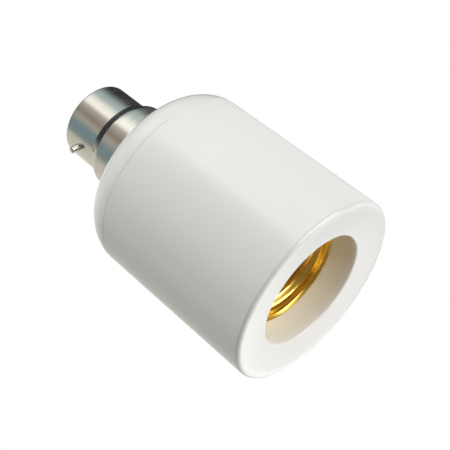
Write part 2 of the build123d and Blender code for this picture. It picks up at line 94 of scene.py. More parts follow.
# %% Helpers for nodes
def add_node(tree, kind, **settings):
    """A new shader node. p_name sets a property, iN sets input number N, and any other word an input.

    A socket that is given as a value is linked, and anything else becomes the input's own value.
    """
    node = tree.nodes.new("ShaderNode" + kind)
    for key, value in settings.items():
        if key.startswith("p_"):
            setattr(node, key[2:], value)
            continue
        numbered = key[0] == "i" and key[1:].isdigit()
        socket = node.inputs[int(key[1:])] if numbered else node.inputs[key.replace("_", " ")]
        if isinstance(value, bpy.types.NodeSocket):
            tree.links.new(value, socket)
        else:
            socket.default_value = value
    return node


def calculate(tree, operation, first, second):
    """The result of one sum, product or comparison of two numbers or sockets."""
    return add_node(tree, "Math", p_operation=operation, i0=first, i1=second).outputs[0]


print("node helpers:", add_node.__name__, calculate.__name__)

# %% [markdown]
# ## The world
#
# The photograph is a product shot on white paper. The world is plain white where the camera sees it, and
# where glossy or clear things would show it. Everywhere else it is a very dim fill, so the white round
# the object adds no light to it. A Light Path node tells the two kinds of ray apart.

# %% World
FILL_STRENGTH = 0.03
world = bpy.data.worlds.new("studio")
bpy.context.scene.world = world
world.use_nodes = True
tree = world.node_tree
tree.nodes.clear()
ray = add_node(tree, "LightPath").outputs
seen_or_mirrored = calculate(tree, "MAXIMUM", ray["Is Camera Ray"], ray["Is Glossy Ray"])
shows_paper = calculate(tree, "MAXIMUM", seen_or_mirrored, ray["Is Transmission Ray"])
paper = add_node(tree, "Background", Color=(1, 1, 1, 1), Strength=1.0)
fill = add_node(tree, "Background", Color=(1, 0.985, 0.95, 1), Strength=FILL_STRENGTH)
choice = add_node(tree, "MixShader", i0=shows_paper, i1=fill.outputs[0], i2=paper.outputs[0])
add_node(tree, "OutputWorld", Surface=choice.outputs[0])
print("world nodes:", len(tree.nodes))

# %% [markdown]
# ## The lamps
#
# White plastic shows its light as slow changes of grey round the body. Light adds up, so each lamp was
# rendered alone and its strength fitted to the photograph's greys. The lamps behind were then dimmed, so
# that the body isn't burnt out in views from there. A gloss mirrors a lamp as a hard square, so most
# lamps are hidden from reflections, and the body's long soft highlight comes from the cards further
# down. The lamp brass_shine lights nothing matt. It shows only in reflections, above all in the brass.

# %% Lamps
LAMP_DISTANCE = 0.6
BODY_MIDDLE = np.array([0, 0, 0.04])


def soft_lamp(name, azimuth, elevation, size, power, mirrored=False):
    """An area lamp that faces the body's middle. Its size is (width, height) in metres, its angles degrees.

    It stands in the direction (cos e cos a, cos e sin a, sin e), for azimuth a and elevation e.
    """
    data = bpy.data.lights.new(name, "AREA")
    data.shape = "RECTANGLE"
    data.size, data.size_y = size
    data.energy = power
    a, e = np.radians([azimuth, elevation])
    away = np.array([np.cos(e) * np.cos(a), np.cos(e) * np.sin(a), np.sin(e)])
    side = np.array([-np.sin(a), np.cos(a), 0])
    lamp = bpy.data.objects.new(name, data)
    lamp.matrix_world = pose_matrix([side, np.cross(away, side), away], away * LAMP_DISTANCE + BODY_MIDDLE)
    lamp.visible_glossy = mirrored
    bpy.context.scene.collection.objects.link(lamp)
    return lamp


soft_lamp("right", 290, -38, (0.6, 0.4), 2.5, mirrored=True)
brass_shine = soft_lamp("brass_shine", 297, -38, (0.6, 0.35), 2.0, mirrored=True)
brass_shine.visible_diffuse = False
soft_lamp("far_right", 15, 8, (0.3, 0.3), 2.2)
soft_lamp("below", 34, -69, (0.5, 0.5), 3.05)
soft_lamp("top", 255, 48, (0.3, 0.3), 3.3)
soft_lamp("left", 155, 5, (0.3, 0.3), 1.1)
soft_lamp("back", 85, 50, (0.4, 0.4), 0.8)

# %% [markdown]
# ## The glow of the brass
#
# In the photograph the shaded side of the throat is tan, because polished brass throws warm light on it.
# A path tracer finds such light slowly and with noise, so one small warm lamp inside the brass shell
# stands for it. It faces down at the throat's shaded side, and nothing mirrors it.

# %% Brass glow
glow_data = bpy.data.lights.new("brass_glow", "AREA")
glow_data.size = 0.01
glow_data.energy = 0.0007
glow_data.color = (1, 0.6, 0.12)
glow = bpy.data.objects.new("brass_glow", glow_data)
glow.location = (-0.006, 0.002, 0.0135)
glow.rotation_euler = np.radians([0, -45, -10])
glow.visible_glossy = False
bpy.context.scene.collection.objects.link(glow)
print("the glow's power is", glow_data.energy, "W")

# %% [markdown]
# ## Outlines with real corners
#
# Nearly every part was turned, drawn or moulded round one axis, so it is an outline carried round Z. No
# edge of a real part is a knife edge: even a sharp corner has a radius of a few hundredths of a
# millimetre, and that thin arc catches the light. So corners are rounded in the outline, once, before
# anything is turned. A Bevel modifier could do it too, but here each corner just carries its radius.


# %% Rounded outlines
def rounded(corners, closed=True, edge=0.06, step=9.0):
    """An outline's points with its corners rounded, from corners (x, y) or (x, y, radius), in mm.

    An arc of radius q in a corner of half angle h touches the sides q / tan(h) from the corner, about a
    centre q / sin(h) along the bisector. A corner without a radius gets edge, or less where a side is
    short. An extra point near each end of a straight side keeps it flat.
    """
    spots = np.array([k[:2] for k in corners], float)
    count = len(spots)
    arcs = []
    for i, corner in enumerate(corners):
        if not closed and i in (0, count - 1):
            arcs.append(spots[i : i + 1])
            continue
        back_side = spots[i - 1] - spots[i]
        next_side = spots[(i + 1) % count] - spots[i]
        back_length = np.linalg.norm(back_side)
        next_length = np.linalg.norm(next_side)
        back_side = back_side / back_length
        next_side = next_side / next_length
        half = 0.5 * np.arccos(np.clip(back_side @ next_side, -1, 1))
        if len(corner) > 2:
            reach = corner[2] / np.tan(half)
        else:
            reach = min(edge / np.tan(half), 0.46 * back_length, 0.46 * next_length)
        radius = reach * np.tan(half)
        bisector = (back_side + next_side) / np.linalg.norm(back_side + next_side)
        centre = spots[i] + bisector * radius / np.sin(half)
        sweep = np.pi - 2 * half
        t = np.linspace(0, 1, max(4, int(np.ceil(np.degrees(sweep) / step)) + 1))[:, None]
        first = spots[i] + back_side * reach - centre
        last = spots[i] + next_side * reach - centre
        arcs.append(centre + (np.sin((1 - t) * sweep) * first + np.sin(t * sweep) * last) / np.sin(sweep))
    filled = []
    for i, arc in enumerate(arcs):
        filled.append(arc)
        if i == len(arcs) - 1 and not closed:
            break
        start = arc[-1]
        end = arcs[(i + 1) % len(arcs)][0]
        gap = np.linalg.norm(end - start)
        if gap > 0.1:
            near = min(0.25, 0.25 * gap) / gap
            shares = np.array([near, 1 - near])[:, None]
            filled.append(start + shares * (end - start))
    return np.concatenate(filled)


print("a square with round corners has", len(rounded([(0, 0), (1, 0), (1, 1), (0, 1)])), "points")

# %% [markdown]
# ## Turned surfaces
#
# Turning an outline is what a lathe does. The points are a grid: one way along the outline, the other
# way round the axis. Whole arrays are worked out at once, and a shape function may move the grid before
# it becomes a surface, which is how crimps and a screw thread are pressed into a turned part.


# %% Turned surfaces
def grid_faces(rows, columns, ring):
    """Quads between the points of a grid whose columns close on themselves, and its rows too if ring."""
    i = np.arange(rows if ring else rows - 1)[:, None]
    j = np.arange(columns)[None]
    here = i * columns
    there = ((i + 1) % rows) * columns
    after = (j + 1) % columns
    return np.stack([here + j, here + after, there + after, there + j], -1).reshape(-1, 4)


def turned(outline, turns=192, ring=True, shape=None):
    """Points and faces of an outline (r, z) turned about Z: x = r cos t, y = r sin t, z = z.

    Without ring, the outline starts and ends on the axis, and each end closes in one point. shape, if
    given, moves the points: it gets t, r and z as arrays and returns new r and z.
    """
    t = np.linspace(0, 2 * np.pi, turns, endpoint=False)[None]
    wall = slice(None) if ring else slice(1, -1)
    r = outline[wall, :1] + 0 * t
    z = outline[wall, 1:] + 0 * t
    if shape is not None:
        r, z = shape(t + 0 * r, r, z)
    points = np.stack([r * np.cos(t), r * np.sin(t), z], -1).reshape(-1, 3)
    faces = grid_faces(r.shape[0], turns, ring).tolist()
    if not ring:
        first_pole = len(points)
        last_row = first_pole - turns
        points = np.vstack([points, [0, 0, outline[0, 1]], [0, 0, outline[-1, 1]]])
        j = np.arange(turns)
        k = (j + 1) % turns
        faces += np.stack([k, j, 0 * j + first_pole], -1).tolist()
        faces += np.stack([last_row + j, last_row + k, 0 * j + first_pole + 1], -1).tolist()
    return points, faces


print("a turned ring has", len(turned(rounded([(1, 0), (2, 0), (2, 1), (1, 1)]))[1]), "faces")

# %% [markdown]
# ## Ribs, and making an object
#
# Ribs and tabs aren't round. They are an outline drawn straight up, with the end edges cut back a
# little. The last helper joins several closed shapes into one Blender object. Every object stays at the
# origin, with its place in its mesh, so all of them share one set of Object coordinates.


# %% Drawn shapes and objects
def prism(outline, low, high, chamfer=0.12):
    """Points and faces of an outline (x, y) drawn up from z = low to high, its end edges cut back."""
    along = np.roll(outline, -1, 0) - np.roll(outline, 1, 0)
    outward = np.stack([along[:, 1], -along[:, 0]], 1)
    outward /= np.maximum(np.linalg.norm(outward, axis=1, keepdims=True), 1e-9)
    count = len(outline)
    rows = []
    for z, cut in [(low, 1), (low + chamfer, 0), (high - chamfer, 0), (high, 1)]:
        rows.append(np.column_stack([outline - outward * chamfer * cut, np.full(count, z)]))
    faces = grid_faces(4, count, False).tolist()
    faces.append(list(range(count))[::-1])
    faces.append(list(range(3 * count, 4 * count)))
    return np.concatenate(rows), faces


def placed(shape, matrix=None, move=(0, 0, 0)):
    """The same points and faces after a turn by a 3 x 3 matrix and a move."""
    points, faces = shape
    if matrix is not None:
        points = points @ np.array(matrix, float).T
    return points + np.array(move, float), faces


def build(name, shapes, material, body="holder"):
    """One smooth Blender object from several closed shapes, given in mm and stored in metres."""
    points = np.concatenate([p for p, f in shapes])
    faces = []
    start = 0
    for p, f in shapes:
        faces += [[v + start for v in face] for face in f]
        start += len(p)
    data = bpy.data.meshes.new(name)
    data.from_pydata((points * MM).tolist(), [], faces)
    data.polygons.foreach_set("use_smooth", np.full(len(data.polygons), True))
    data.materials.append(material)
    data.update()
    piece = bpy.data.objects.new(name, data)
    bpy.context.scene.collection.objects.link(piece)
    if body is not None:
        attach(piece, body)
    print(name, "faces", len(faces), "mm from", np.round(points.min(0), 2), "to", np.round(points.max(0), 2))
    return piece


# %% [markdown]
# ## Finishes
#
# A finish is a few noise textures that change the colour, roughness and height a little, at the size
# that the real process leaves: a moulded body has the fine grain of its tool, a drawn and plated cap has
# faint rings from turning. Object coordinates are in metres, so a scale of 2000 repeats about every
# half millimetre.


# %% Helpers for finishes
def new_material(name):
    """A material with an empty Principled shader, and its node tree and shader."""
    material = bpy.data.materials.new(name)
    material.use_nodes = True
    tree = material.node_tree
    return material, tree, tree.nodes["Principled BSDF"]


def grain(tree, scale, detail=2.0, squash=(1, 1, 1)):
    """Noise from 0 to 1 in object space; squash stretches it along an axis where its number is small."""
    where = add_node(tree, "TexCoord").outputs["Object"]
    at = add_node(tree, "Mapping", Vector=where, Scale=squash).outputs[0]
    return add_node(tree, "TexNoise", Vector=at, Scale=scale, Detail=detail).outputs["Fac"]


def smooth_step(tree, value, start, end, low, high):
    """A number that goes smoothly from low to high while the value goes from start to end."""
    settings = {"i0": value, "i1": start, "i2": end, "i3": low, "i4": high}
    return add_node(tree, "MapRange", p_interpolation_type="SMOOTHSTEP", **settings).outputs[0]


def drifting(tree, noise, dark, light):
    """A colour that follows noise from dark at 0.2 to light at 0.8."""
    node = add_node(tree, "ValToRGB", Fac=noise)
    node.color_ramp.interpolation = "EASE"
    for stop, position, colour in zip(node.color_ramp.elements, (0.2, 0.8), (dark, light)):
        stop.position = position
        stop.color = (*colour, 1)
    return node.outputs["Color"]


def bumped(tree, shader, height, distance):
    """Height, in the given distance in metres, that the light feels on the surface."""
    node = add_node(tree, "Bump", Height=height, Distance=distance, Strength=1.0)
    tree.links.new(node.outputs[0], shader.inputs["Normal"])


print("finish helpers:", grain.__name__, smooth_step.__name__, drifting.__name__, bumped.__name__)

# %% [markdown]
# ## A finish from a few numbers
#
# Most parts need the same tree with other numbers: two close tones, a range of roughness, the scale of
# their drift, and the height and scale of a fine grain. So one function makes them all, and each part's
# finish is one line of a list.


# %% The function for a finish
def finish(name, dark, light, rough, scale, bump, fine, metallic=0.0, squash=(1, 1, 1)):
    """A finish whose colour drifts between two close tones, with a fine grain in its height."""
    material, tree, shader = new_material(name)
    tree.links.new(drifting(tree, grain(tree, scale, 3.0, squash), dark, light), shader.inputs["Base Color"])
    roughness = smooth_step(tree, grain(tree, scale * 2.3, 2.0, squash), 0.2, 0.8, *rough)
    tree.links.new(roughness, shader.inputs["Roughness"])
    shader.inputs["Metallic"].default_value = metallic
    bumped(tree, shader, grain(tree, fine, 2.0, squash), bump)
    return material


def metal_finish(name, dark, light, rough, scale, bump, fine, squash=(1, 1, 1)):
    """A finish of bare or plated metal."""
    return finish(name, dark, light, rough, scale, bump, fine, 1.0, squash)


FINISH = {}
print("finishes so far:", len(FINISH))

# %% [markdown]
# ## White plastic
#
# The body is moulded in white plastic with a soft gloss. Its tone drifts a very little. Inside the mouth,
# where the wall faces the brass, a warm tone is painted into the colour. It is painted bounce light from the
# brass, not a colour of the plastic, which is as white there as elsewhere. The throat is found from the
# height and the distance from the axis, so this painted light stays fixed to the object in every view.

# %% White plastic
# Painted light: a warm tone that stands in for bounce light from the brass on the throat's white plastic.
PAINTED_BRASS_BOUNCE = (0.735, 0.71, 0.61, 1)
body_plastic, tree, shader = new_material("body_plastic")
white_tone = drifting(tree, grain(tree, 60, 3.0), (0.769, 0.766, 0.742), (0.779, 0.777, 0.754))
where = add_node(tree, "TexCoord").outputs["Object"]
height = add_node(tree, "SeparateXYZ", Vector=where).outputs["Z"]
flattened = add_node(tree, "VectorMath", p_operation="MULTIPLY", i0=where, i1=(1, 1, 0)).outputs["Vector"]
from_axis = add_node(tree, "VectorMath", p_operation="LENGTH", i0=flattened).outputs["Value"]
past_lip = smooth_step(tree, height, 0.001, 0.0035, 0, 1)
before_cover = smooth_step(tree, height, 0.02, 0.03, 1, 0)
inside_mouth = smooth_step(tree, from_axis, 0.0159, 0.0166, 1, 0)
# Where the painted bounce light goes: past the lip, before the cover and inside the mouth's radius.
painted_bounce_share = calculate(tree, "MULTIPLY", calculate(tree, "MULTIPLY", past_lip, before_cover), inside_mouth)
tone = add_node(tree, "Mix", p_data_type="RGBA", i0=painted_bounce_share, i6=white_tone, i7=PAINTED_BRASS_BOUNCE).outputs[2]
tree.links.new(tone, shader.inputs["Base Color"])
tree.links.new(smooth_step(tree, grain(tree, 140), 0.2, 0.8, 0.13, 0.15), shader.inputs["Roughness"])
bumped(tree, shader, grain(tree, 6000), 1.5e-6)
FINISH["body_plastic"] = body_plastic
print("white plastic nodes:", len(tree.nodes))

# %% [markdown]
# ## Metals
#
# A metal's base colour is what it mirrors head on. Brass keeps red and loses blue, so light that bounces
# twice in the thread comes out a deeper gold than the base colour. Rings from drawing and rolling run
# round the cap and the shell, so their noise is stretched across the axis and squeezed along it.

# %% Metals
ROUND_THE_CAP = (0.15, 0.15, 4)
ROUND_THE_SHELL = (0.2, 0.2, 4)
ACROSS_THE_STRIP = (1, 4, 1)
for name, *values in [
    ("cap_nickel", (0.66, 0.645, 0.61), (0.70, 0.69, 0.655), (0.12, 0.2), 400, 1e-6, 4000, ROUND_THE_CAP),
    ("pin_metal", (0.62, 0.60, 0.57), (0.70, 0.68, 0.65), (0.26, 0.36), 900, 1e-6, 7000),
    ("tinned_metal", (0.56, 0.56, 0.55), (0.68, 0.67, 0.66), (0.25, 0.45), 900, 8e-6, 2500),
    ("shell_brass", (0.87, 0.60, 0.125), (0.91, 0.63, 0.14), (0.25, 0.31), 300, 1e-6, 4000, ROUND_THE_SHELL),
    ("rivet_brass", (0.58, 0.38, 0.12), (0.70, 0.49, 0.18), (0.2, 0.35), 900, 4e-6, 4000),
    ("spring_bronze", (0.56, 0.36, 0.19), (0.66, 0.45, 0.25), (0.2, 0.34), 500, 2e-6, 4000, ACROSS_THE_STRIP),
    ("button_brass", (0.62, 0.42, 0.15), (0.74, 0.54, 0.22), (0.16, 0.3), 900, 3e-6, 4000),
    ("screw_steel", (0.52, 0.52, 0.53), (0.64, 0.64, 0.65), (0.25, 0.4), 1500, 3e-6, 4000),
]:
    FINISH[name] = metal_finish(name, *values)
print("finishes with the metals:", len(FINISH))

# %% [markdown]
# ## Plastics, lacquers and sleeves
#
# These finishes are for parts that are out of sight in the closed holder, and for the black disc in the
# cap. Each still has its own tone, gloss and grain, so that it looks right when the holder is opened.

# %% Plastics, lacquers and sleeves
for name, *values in [
    ("insulator_black", (0.012, 0.011, 0.010), (0.022, 0.020, 0.018), (0.3, 0.5), 500, 4e-6, 5000),
    ("base_plastic", (0.62, 0.60, 0.55), (0.68, 0.66, 0.61), (0.4, 0.55), 250, 5e-6, 4000),
    ("board_laminate", (0.10, 0.17, 0.05), (0.16, 0.24, 0.08), (0.35, 0.5), 1500, 5e-6, 2500),
    ("relay_plastic", (0.03, 0.09, 0.28), (0.045, 0.12, 0.34), (0.35, 0.5), 400, 5e-6, 5000),
    ("film_plastic", (0.42, 0.06, 0.03), (0.50, 0.09, 0.045), (0.25, 0.4), 400, 8e-6, 1500),
    ("can_sleeve", (0.012, 0.014, 0.03), (0.02, 0.022, 0.045), (0.2, 0.35), 500, 3e-6, 3000),
    ("diode_plastic", (0.012, 0.012, 0.012), (0.025, 0.025, 0.024), (0.35, 0.55), 900, 6e-6, 4000),
    ("diode_glass", (0.40, 0.12, 0.05), (0.55, 0.20, 0.09), (0.08, 0.18), 900, 2e-6, 3000),
    ("fuse_coating", (0.24, 0.38, 0.36), (0.30, 0.45, 0.42), (0.45, 0.6), 700, 1.2e-5, 2200),
    ("resistor_coating", (0.55, 0.42, 0.25), (0.64, 0.50, 0.31), (0.4, 0.55), 700, 1e-5, 2200),
    ("aerial_sleeve", (0.55, 0.55, 0.53), (0.63, 0.63, 0.60), (0.35, 0.5), 500, 4e-6, 3000),
    ("live_sleeve", (0.22, 0.10, 0.045), (0.28, 0.13, 0.06), (0.35, 0.5), 500, 4e-6, 3000),
    ("neutral_sleeve", (0.03, 0.10, 0.38), (0.045, 0.13, 0.45), (0.35, 0.5), 500, 4e-6, 3000),
]:
    FINISH[name] = finish(name, *values)
print("finishes:", len(FINISH))

# %% [markdown]
# ## The white body
#
# The body is one moulding: a wall with a rounded foot, a face that is dished by about a millimetre
# inside a flat ring, and a mouth that turns in over a small round lip to a throat that narrows.
# Behind the face a sleeve holds the screw shell. The outline follows the part's cross-section, so the
# wall has its real thickness. The dish is shallow, but without it the mouth sits visibly off its place.

# %% The body's outline
BODY_R = 26
SEAM_Z = 48.7
MOUTH = (16.05, 1.05, 0.7)
FOOT_RING = (23.6, 0, 6.0)
body_line = rounded(
    [MOUTH, FOOT_RING, (BODY_R, 0, 1.2), (BODY_R, SEAM_Z - 0.04, 0.04), (25.7, SEAM_Z - 0.04), (25.7, SEAM_Z)]
    + [(24, SEAM_Z), (24, 2.4), (17, 2.4), (17, 31), (15, 31), (15, 8), (14.2, 8, 0.15)]
)
print("the body's outline has", len(body_line), "points")

# %% [markdown]
# ## Bosses and ribs
#
# Four bosses inside the wall take screws, two for the lamp socket's base and two for the circuit board,
# and four ribs stiffen the face between them. They start a little inside the face's plastic, as one
# moulding does, so there is no gap between them.

# %% Bosses, ribs and the finished body
BOSS_REACH = 21.1
DIAGONALS = np.radians([45, 135, 225, 315])


def boss(top):
    """A round boss with a blind hole down its middle, from the face up to z = top."""
    line = [(0, 1.9), (3, 1.9), (3, top, 0.3), (1.2, top, 0.15), (1.2, top - 9), (0, top - 9)]
    return turned(rounded(line, closed=False), 48, ring=False)


def turn_about_z(angle):
    """The 3 x 3 matrix of a turn about Z."""
    c, s = np.cos(angle), np.sin(angle)
    return [[c, -s, 0], [s, c, 0], [0, 0, 1]]


rib = prism(rounded([(16.6, -0.6), (24.4, -0.6), (24.4, 0.6), (16.6, 0.6)]), 1.9, 21.9)
parts = [turned(body_line, 256)]
parts += [placed(boss(31), move=(x, 0, 0)) for x in (-BOSS_REACH, BOSS_REACH)]
parts += [placed(boss(38.5), move=(0, y, 0)) for y in (-BOSS_REACH, BOSS_REACH)]
parts += [placed(rib, turn_about_z(angle)) for angle in DIAGONALS]
housing = build("body_housing", parts, FINISH["body_plastic"])
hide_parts("housing_shell")

# %% [markdown]
# ## The rear cover
#
# The cover is the body's rounded shoulder and its neck. It snaps into the body with a lip. Where the two
# meet there is a hairline gap, 0.04 mm wide and 0.3 mm deep, cut in the body's outline above. So the
# seam is in the shape and not in the finish, and catches the light as a real one does.

# %% Rear cover
cover_line = rounded(
    [(BODY_R, SEAM_Z, 0.05), (BODY_R, 57.8, 8.4), (12, 57.8), (12, 66.5, 0.5), (9.6, 66.5), (9.6, 55.8, 1.0)]
    + [(24, 55.8, 5.1), (24, 50.3, 0.3), (22.2, 49.3, 0.3), (22.2, 45.6), (23.7, 45.6, 0.5)]
    + [(23.7, 46.5, 0.1), (24.1, 47), (23.7, 47.5, 0.1), (23.7, SEAM_Z)]
)
cover = build("back_cover", [turned(cover_line, 256)], FINISH["body_plastic"])
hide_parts("rear_cover")

# %% [markdown]
# ## The bayonet cap
#
# The cap is drawn from one thin nickel-plated sheet: a wide skirt is crimped on the body's neck, steps in
# to the 22 mm barrel and is curled over the insulator at its end. The step is two soft bends, because a
# deep-drawn sheet can't be folded sharply.

# %% The cap's outline
SKIRT_R = 12.75
BARREL_R = 11
SHEET = 0.4
cap_line = rounded(
    [(SKIRT_R, 57.8), (SKIRT_R, 69.3, 3.0), (BARREL_R, 72.2, 0.7), (BARREL_R, 83.7, 0.6), (10, 83.7, 0.12)]
    + [(10, 83.3, 0.12), (BARREL_R - SHEET, 83.3), (BARREL_R - SHEET, 72.3, 1.1)]
    + [(SKIRT_R - SHEET, 69.4, 2.6), (SKIRT_R - SHEET, 57.8)]
)


def with_rows(line, low, high, count):
    """More points on the outline's straight sides between two heights, for detail that goes round it."""
    made = [line[:1]]
    for a, b in zip(line, np.roll(line, -1, 0)):
        if min(a[1], b[1]) <= low and max(a[1], b[1]) >= high:
            z = np.linspace(low, high, count)
            z = z if b[1] > a[1] else z[::-1]
            made.append(np.column_stack([a[0] + (b[0] - a[0]) * (z - a[1]) / (b[1] - a[1]), z]))
        made.append(b[None])
    return np.concatenate(made)[:-1]


cap_line = with_rows(cap_line, 60.2, 63.8, 24)
print("the cap's outline has", len(cap_line), "points")

# %% [markdown]
# ## Crimps
#
# Four blows of a round punch push the skirt into the neck, so that the cap can't turn or pull off. A
# punch is a sphere. Where its near side lies closer to the axis than the sheet does, the sheet follows
# it, and the sheet's two walls move in together.

# %% The cap with its crimps
PUNCH_R = 1.6
CRIMP_Z = 62.0
OUTER_PUNCH = 13.8
INNER_PUNCH = 13.4
NO_DENT = 99.0


def punch_depth(t, z, centre):
    """How far from the axis a punch's near side lies at angle t and height z, and NO_DENT beside it.

    With d the angle from the nearest punch, whose centre is c from the axis, this is
    c cos d - sqrt(PUNCH_R^2 - (c sin d)^2 - (z - CRIMP_Z)^2).
    """
    off = np.min(np.abs((t[..., None] - DIAGONALS + np.pi) % (2 * np.pi) - np.pi), -1)
    room = PUNCH_R**2 - (centre * np.sin(off)) ** 2 - (z - CRIMP_Z) ** 2
    near_side = centre * np.cos(off) - np.sqrt(np.maximum(room, 0))
    return np.where((room > 0) & (off < 0.5), near_side, NO_DENT)


def crimped(t, r, z):
    """The skirt's two walls pushed in together by four punches, all at the same height."""
    outer = np.where(z < 66, punch_depth(t, z, OUTER_PUNCH), NO_DENT)
    inner = np.where(z < 66, punch_depth(t, z, INNER_PUNCH), NO_DENT)
    return np.where(r > 12.5, np.minimum(r, outer), np.where(r > 12.0, np.minimum(r, inner), r)), z


cap = build("cap_shell", [turned(cap_line, 288, shape=crimped)], FINISH["cap_nickel"])
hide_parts("bayonet_cap")

# %% [markdown]
# ## Pins
#
# Two pins stick out of the barrel and hook into a bayonet socket. Each has a head inside the sheet and a
# rounded end outside. One outline is turned about Z, and a matrix that swaps the axes lays it along X.

# %% Pins
PIN_Z = 78.3
PIN_R = 0.95
pin_line = rounded(
    [(0, 9.9), (1.5, 9.9, 0.15), (1.5, 10.4, 0.15), (PIN_R, 10.4), (PIN_R, 13.35, 0.55), (0, 13.35)],
    closed=False,
)
pin = turned(pin_line, 48, ring=False)
ALONG_X = {"right": [[0, 0, 1], [1, 0, 0], [0, 1, 0]], "left": [[0, 0, -1], [-1, 0, 0], [0, 1, 0]]}
for side, matrix in ALONG_X.items():
    piece = build(f"pin_{side}", [placed(pin, matrix, (0, 0, PIN_Z))], FINISH["pin_metal"])
    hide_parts(f"bayonet_pin_{side}")

# %% [markdown]
# ## The disc and its two contacts
#
# A black moulded disc closes the cap. Two soft tinned contacts come through it, where the ceiling
# socket's spring plungers press. Each is a low pad with a rounded rim.

# %% Disc and contacts
disc_line = rounded(
    [(0, 80.1), (10.6, 80.1, 0.2), (10.6, 83.3), (9.7, 83.3), (9.5, 83.9, 0.3), (0, 84.1)],
    closed=False,
)
disc = build("cap_disc", [turned(disc_line, 160, ring=False)], FINISH["insulator_black"])
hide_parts("cap_insulator")

pad_line = rounded(
    [(0, 78.6), (1.2, 78.6, 0.2), (1.2, 84.1), (2.2, 84.1, 0.1), (2.2, 84.5, 0.35), (0, 84.5)],
    closed=False,
)
pad = turned(pad_line, 64, ring=False)
for name, y in (("live", 4.5), ("neutral", -4.5)):
    piece = build(f"contact_{name}", [placed(pad, move=(0, y, 0))], FINISH["tinned_metal"])
    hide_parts(f"cap_contact_{name}")

# %% [markdown]
# ## The brass screw shell
#
# The shell is drawn from thin brass and its thread is rolled in, so the same wave runs inside and
# outside. A rolled lamp thread has no flat flanks: its crests and grooves are equal round curves, so a
# cosine is the right wave. Its crests stand on the CAD's bore, and its grooves are 1.35 mm wider in
# radius. It fades in past the flared rim and out before the floor.

# %% Screw shell
PITCH = 3.629
DEPTH = 1.35
FIRST_CREST = 0.13


def threaded(t, r, z):
    """The wall's r less DEPTH * fade * (1 + cos(2 pi (z / PITCH - t / 2 pi - FIRST_CREST))) / 2.

    Taking t over a full turn from z over the pitch makes a right-hand screw.
    """
    wall = (r < 14.2) & (r > 13.4) & (z > 9)
    fade = np.clip((z - 9.3) / 1.3, 0, 1) * np.clip((30.1 - z) / 1.8, 0, 1)
    fade = fade * fade * (3 - 2 * fade)
    wave = 0.5 + 0.5 * np.cos(2 * np.pi * (z / PITCH - t / (2 * np.pi) - FIRST_CREST))
    return r - np.where(wall, DEPTH * fade * wave, 0), z


shell_section = rounded(
    [(14.6, 8.0, 0.1), (14.6, 8.4, 0.1), (13.95, 8.85, 0.4), (13.95, 31, 1.2), (7.5, 31), (7.5, 30.6)]
    + [(13.55, 30.6, 0.9), (13.55, 8.6, 0.4), (14.15, 8.0, 0.25)]
)
shell_wall = turned(with_rows(shell_section, 9.55, 29.2, 130), 256, shape=threaded)
solder_tab = prism(rounded([(-2, 10), (2, 10), (2, 10.4), (-2, 10.4)], edge=0.05), 30.6, 41, 0.06)
shell = build("screw_socket_shell", [shell_wall, solder_tab], FINISH["shell_brass"])
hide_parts("screw_shell")

# %% [markdown]
# ## Rivets in the shell's floor
#
# Two rivets hold the shell to its base. Each has a low round head in the shell and is spread behind the
# base.

# %% Floor rivets
rivet_line = rounded(
    [(0, 29.9), (1.7, 29.9, 0.5), (1.7, 30.6), (0.9, 30.6), (0.9, 34.2), (1.5, 34.2)]
    + [(1.5, 34.7, 0.3), (0, 34.7)],
    closed=False,
)
rivet = turned(rivet_line, 64, ring=False)
rivets = build("floor_rivets", [placed(rivet, move=(x, 0, 0)) for x in (-9.7, 9.7)], FINISH["rivet_brass"])
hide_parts("shell_rivets")

# %% [markdown]
# ## The sprung centre contact
#
# A strip of spring bronze is folded from its solder post, along the base and through a slot to a tongue
# that reaches under the lamp's end. A lamp pushes its button up, so the real strip bends where it is free
# and stays still where it is riveted. The strip is a thin section carried along its fold line, in even
# steps, so that it bends smoothly.

# %% Contact strip
fold_line = rounded(
    [(-12, 41), (-12, 34.4, 0.8), (-6.3, 34.4, 0.8), (-6.3, 29.6, 0.9), (3.2, 27.9, 0.9), (4.4, 28.7)],
    closed=False,
    step=6,
)
steps = np.linalg.norm(np.diff(fold_line, axis=0), axis=1)
length = np.concatenate([[0], np.cumsum(steps)])
even = np.linspace(0, length[-1], 161)
fold_line = np.column_stack([np.interp(even, length, fold_line[:, k]) for k in (0, 1)])
along = np.gradient(fold_line, axis=0)
along /= np.linalg.norm(along, axis=1, keepdims=True)
through = np.column_stack([-along[:, 1], along[:, 0]])
strip_section = rounded([(-2.5, -0.2), (2.5, -0.2), (2.5, 0.2), (-2.5, 0.2)], edge=0.08)
x = strip_section[None, :, 0] + 0 * fold_line[:, :1]
y = fold_line[:, :1] + through[:, :1] * strip_section[None, :, 1]
z = fold_line[:, 1:] + through[:, 1:] * strip_section[None, :, 1]
strip_points = np.stack([x, y, z], -1).reshape(-1, 3)
sides = len(strip_section)
strip_faces = grid_faces(len(fold_line), sides, False)[:, ::-1].tolist()
strip_faces += [list(range(sides)), list(range(len(strip_points) - sides, len(strip_points)))[::-1]]
strip = build("contact_strip", [(strip_points, strip_faces)], FINISH["spring_bronze"], body=None)
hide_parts("contact_leaf")
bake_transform(strip)

# %% [markdown]
# ## The contact's button
#
# A domed brass button is riveted through the tongue, square to it. The tongue slopes, so the button is
# turned about Z first and then tilted to the slope of the fold line.

# %% Contact button
TONGUE_SLOPE = 0.17895
button_line = rounded(
    [(0, -1.5), (1.6, -1.3, 2.0), (2.8, -0.8, 0.3), (2.8, -0.22), (1, -0.22), (1, 0.22), (1.8, 0.22)]
    + [(1.8, 0.4), (1, 0.8, 0.3), (0, 0.8)],
    closed=False,
)
tilt = np.array([0, TONGUE_SLOPE, 1.0])
tilt /= np.linalg.norm(tilt)
tilted = np.column_stack([[1, 0, 0], np.cross(tilt, [1, 0, 0]), tilt])
button_shape = placed(turned(button_line, 96, ring=False), tilted, (0, 0, 28.4726))
button = build("contact_dome", [button_shape], FINISH["button_brass"], "contact")
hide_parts("contact_button")

